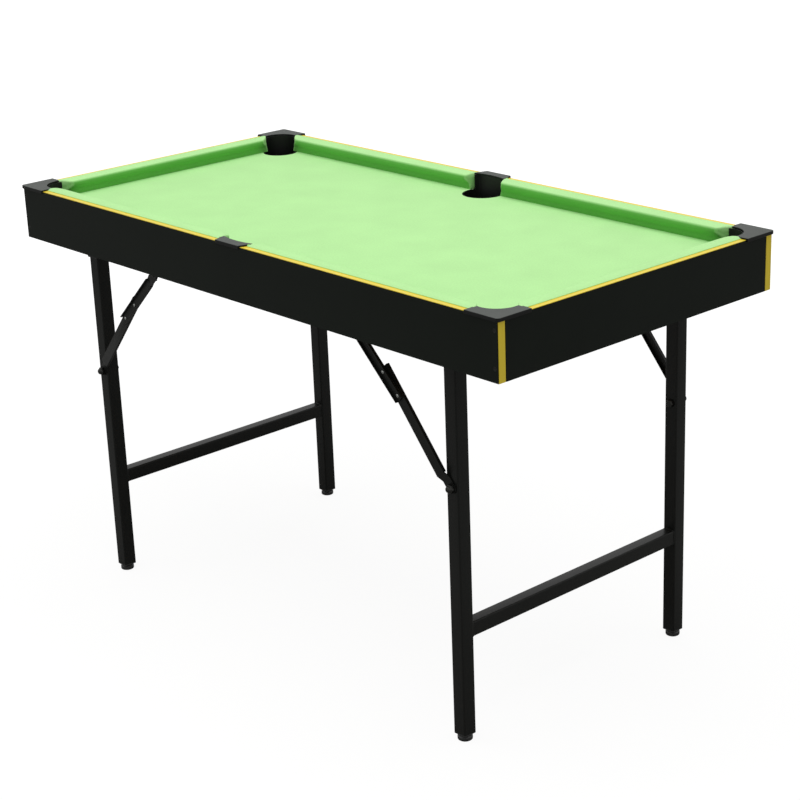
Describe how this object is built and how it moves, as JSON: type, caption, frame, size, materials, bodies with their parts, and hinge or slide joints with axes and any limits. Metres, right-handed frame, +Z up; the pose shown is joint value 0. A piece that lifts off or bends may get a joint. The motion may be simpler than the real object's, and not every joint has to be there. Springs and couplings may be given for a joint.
{
  "type": "games table",
  "caption": "Folding pool-style games table with a cloth bed, cushioned rails, pockets in the corners and long sides, and two leg frames that fold inwards under the top.",
  "frame": {"origin": "on the floor under the middle of the table", "axes": "+X along the length to the right, +Y across the width to the back, +Z up"},
  "size_m": [1.226, 0.616, 0.737],
  "materials": {
    "apron_vinyl": "satin black vinyl laminate on board",
    "edging": "yellow edging tape",
    "board": "raw fibreboard",
    "cloth": "light green woven cloth",
    "rail_wood": "raw softwood",
    "cushion_cloth": "light green woven cloth over rubber",
    "pocket_plastic": "textured black moulding",
    "bracket_steel": "black painted folded sheet",
    "fastener_steel": "darkened steel",
    "tube_paint": "satin black powder coat",
    "foot_plastic": "black moulding"
  },
  "bodies": {
    "table": {"front_apron": "apron_vinyl", "back_apron": "apron_vinyl", "left_apron": "apron_vinyl", "right_apron": "apron_vinyl", "front_edging": "edging", "back_edging": "edging", "end_edgings": "edging", "bed_board": "board", "battens": "board", "bed_cloth": "cloth", "front_left_rail": "rail_wood", "front_right_rail": "rail_wood", "back_left_rail": "rail_wood", "back_right_rail": "rail_wood", "left_rail": "rail_wood", "right_rail": "rail_wood", "front_left_cushion": "cushion_cloth", "front_right_cushion": "cushion_cloth", "back_left_cushion": "cushion_cloth", "back_right_cushion": "cushion_cloth", "left_cushion": "cushion_cloth", "right_cushion": "cushion_cloth", "front_left_cap": "pocket_plastic", "front_right_cap": "pocket_plastic", "back_left_cap": "pocket_plastic", "back_right_cap": "pocket_plastic", "front_left_cup": "pocket_plastic", "front_right_cup": "pocket_plastic", "back_left_cup": "pocket_plastic", "back_right_cup": "pocket_plastic", "front_side_cap": "pocket_plastic", "back_side_cap": "pocket_plastic", "front_side_cup": "pocket_plastic", "back_side_cup": "pocket_plastic", "leg_brackets": "bracket_steel", "brace_brackets": "bracket_steel", "apron_screws": "fastener_steel", "bracket_screws": "fastener_steel", "pivot_bolts": "fastener_steel", "brace_pins": "fastener_steel"},
    "left_frame": {"left_legs": "tube_paint", "left_stretcher": "tube_paint", "left_plugs": "foot_plastic", "left_brace_bolts": "fastener_steel"},
    "left_lower_arms": {"left_lower_braces": "tube_paint", "left_lower_rivets": "fastener_steel"},
    "left_upper_arms": {"left_upper_braces": "tube_paint", "left_upper_rivets": "fastener_steel"},
    "right_frame": {"right_legs": "tube_paint", "right_stretcher": "tube_paint", "right_plugs": "foot_plastic", "right_brace_bolts": "fastener_steel"},
    "right_lower_arms": {"right_lower_braces": "tube_paint", "right_lower_rivets": "fastener_steel"},
    "right_upper_arms": {"right_upper_braces": "tube_paint", "right_upper_rivets": "fastener_steel"},
    "front_left_leveller": {"front_left_foot": "foot_plastic"},
    "front_right_leveller": {"front_right_foot": "foot_plastic"},
    "back_left_leveller": {"back_left_foot": "foot_plastic"},
    "back_right_leveller": {"back_right_foot": "foot_plastic"}
  },
  "joints": [
    {"name": "right_fold", "type": "hinge", "parent": "table", "child": "right_frame", "pos_m": [0.464, 0, 0.655], "axis": [0, 1, 0], "range_deg": [0, 90]},
    {"name": "right_lower_arm_fold", "type": "hinge", "parent": "right_frame", "child": "right_lower_arms", "pos_m": [0.464, 0, 0.43], "axis": [0, 1, 0], "range_deg": [0, 39.74]},
    {"name": "right_upper_arm_fold", "type": "hinge", "parent": "table", "child": "right_upper_arms", "pos_m": [0.257, 0, 0.655], "axis": [0, 1, 0], "range_deg": [-44.14, 0]},
    {"name": "front_right_foot_screw", "type": "slide", "parent": "right_frame", "child": "front_right_leveller", "axis": [0, 0, -1], "range_m": [0, 0.008]},
    {"name": "back_right_foot_screw", "type": "slide", "parent": "right_frame", "child": "back_right_leveller", "axis": [0, 0, -1], "range_m": [0, 0.008]},
    {"name": "left_fold", "type": "hinge", "parent": "table", "child": "left_frame", "pos_m": [-0.464, 0, 0.6275], "axis": [0, -1, 0], "range_deg": [0, 90]},
    {"name": "left_lower_arm_fold", "type": "hinge", "parent": "left_frame", "child": "left_lower_arms", "pos_m": [-0.464, 0, 0.4025], "axis": [0, -1, 0], "range_deg": [0, 39.74]},
    {"name": "left_upper_arm_fold", "type": "hinge", "parent": "table", "child": "left_upper_arms", "pos_m": [-0.257, 0, 0.6275], "axis": [0, -1, 0], "range_deg": [-44.14, 0]},
    {"name": "front_left_foot_screw", "type": "slide", "parent": "left_frame", "child": "front_left_leveller", "axis": [0, 0, -1], "range_m": [0, 0.008]},
    {"name": "back_left_foot_screw", "type": "slide", "parent": "left_frame", "child": "back_left_leveller", "axis": [0, 0, -1], "range_m": [0, 0.008]}
  ],
  "couplings": [
    {"joint": "right_lower_arm_fold", "follows": "right_fold", "ratio": 0.44095},
    {"joint": "right_upper_arm_fold", "follows": "right_fold", "ratio": -0.4899},
    {"joint": "left_lower_arm_fold", "follows": "left_fold", "ratio": 0.44095},
    {"joint": "left_upper_arm_fold", "follows": "left_fold", "ratio": -0.4899}
  ]
}
